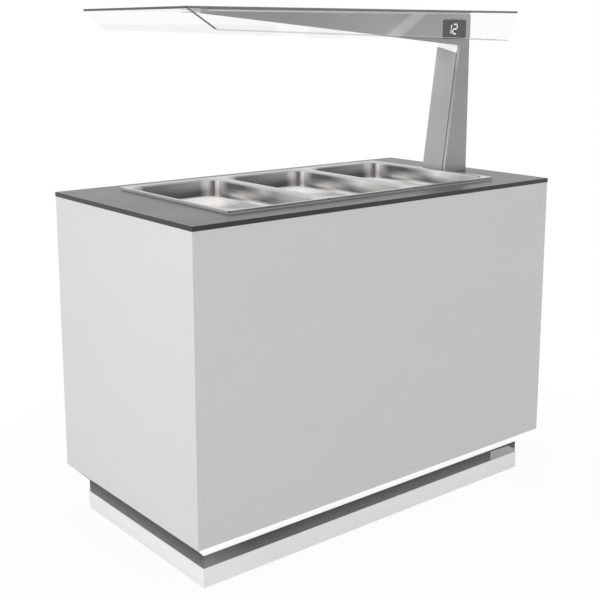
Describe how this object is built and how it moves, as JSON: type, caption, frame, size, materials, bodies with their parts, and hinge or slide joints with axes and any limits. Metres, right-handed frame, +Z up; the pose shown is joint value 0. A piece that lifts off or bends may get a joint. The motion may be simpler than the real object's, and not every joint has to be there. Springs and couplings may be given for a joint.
{
  "type": "refrigerated buffet counter",
  "caption": "Free-standing refrigerated buffet counter with a row of lift-out pans in a cooled well and a cantilevered glass guard on a single end post.",
  "frame": {"origin": "on the floor under the middle of the worktop", "axes": "+Z up, +X along the length towards the post, -Y towards the long front with the light strip"},
  "size_m": [1.294, 0.688, 1.438],
  "materials": {
    "board": "satin",
    "worktop": "satin",
    "kick": "matte",
    "dark_trim": "satin",
    "light_housing": "satin",
    "diffuser": "matte",
    "frame": "satin",
    "casing": "satin",
    "foam": "matte",
    "stainless": "satin",
    "pan": "polished",
    "copper": "satin",
    "valve": "satin",
    "lever": "gloss",
    "compressor": "satin",
    "fins": "satin",
    "shroud": "satin",
    "rotor": "satin",
    "hinge": "satin",
    "chrome": "polished",
    "black_plastic": "satin",
    "rocker": "gloss",
    "post": "satin",
    "display": "gloss",
    "disc": "satin",
    "glass": "polished"
  },
  "bodies": {
    "counter": {"front_panel": "board", "left_panel": "board", "right_panel": "board", "rear_panel_left": "board", "rear_panel_right": "board", "worktop": "worktop", "kick_boards": "kick", "plinth_band": "dark_trim", "side_skirts": "dark_trim", "light_housing": "light_housing", "light_diffuser": "diffuser", "beam_diffuser": "diffuser", "corner_diffuser": "diffuser", "base_frame": "frame", "top_frame": "frame", "corner_uprights": "frame", "post_anchor": "frame", "bottom_panel": "frame", "unit_tray": "frame", "control_box": "frame", "well_casing": "casing", "well_insulation": "foam", "well_tub": "stainless", "pan_bars": "stainless", "drain_pipe": "stainless", "evaporator_coil": "copper", "suction_line": "copper", "liquid_line": "copper", "discharge_line": "copper", "drain_valve": "valve", "compressor": "compressor", "condenser": "fins", "fan_shroud": "shroud", "fan_motor": "shroud", "frame_hinge_leaves": "hinge", "post_bolts": "chrome", "switch_bezel": "black_plastic", "cable_gland": "black_plastic", "levelling_feet": "black_plastic", "front_cheek": "post", "rear_cheek": "post", "post_inner_cover": "post", "post_outer_cover": "post", "beam_top_plate": "post", "post_foot": "post", "display_window": "display", "glass_discs": "disc", "top_glass": "glass", "front_glass": "glass", "rear_glass": "glass"},
    "pan_1": {"pan_1": "pan"},
    "pan_2": {"pan_2": "pan"},
    "pan_3": {"pan_3": "pan"},
    "door": {"service_door": "board", "door_hinge_leaves": "hinge"},
    "latch": {"latch": "chrome"},
    "fan": {"fan_rotor": "rotor"},
    "drain_lever": {"drain_lever": "lever"},
    "rocker": {"switch_rocker": "rocker"}
  },
  "joints": [
    {"name": "pan_1_lift", "type": "slide", "parent": "counter", "child": "pan_1", "axis": [0, 0, 1], "range_m": [0, 0.15]},
    {"name": "pan_2_lift", "type": "slide", "parent": "counter", "child": "pan_2", "axis": [0, 0, 1], "range_m": [0, 0.15]},
    {"name": "pan_3_lift", "type": "slide", "parent": "counter", "child": "pan_3", "axis": [0, 0, 1], "range_m": [0, 0.15]},
    {"name": "door_swing", "type": "hinge", "parent": "counter", "child": "door", "pos_m": [0.412, 0.3395, 0.531], "axis": [0, 0, -1], "range_deg": [0, 110]},
    {"name": "latch_turn", "type": "hinge", "parent": "door", "child": "latch", "pos_m": [-0.172, 0.336, 0.48], "axis": [0, -1, 0], "range_deg": [0, 90]},
    {"name": "fan_spin", "type": "hinge", "parent": "counter", "child": "fan", "pos_m": [0.1, 0.204, 0.3135], "axis": [0, -1, 0], "continuous": true},
    {"name": "drain_lever_turn", "type": "hinge", "parent": "counter", "child": "drain_lever", "pos_m": [-0.25, 0.032, 0.6552], "axis": [0, 1, 0], "range_deg": [0, 90]},
    {"name": "switch_rock", "type": "hinge", "parent": "counter", "child": "rocker", "pos_m": [-0.42, 0.335, 0.6472], "axis": [1, 0, 0], "range_deg": [0, 18]}
  ]
}
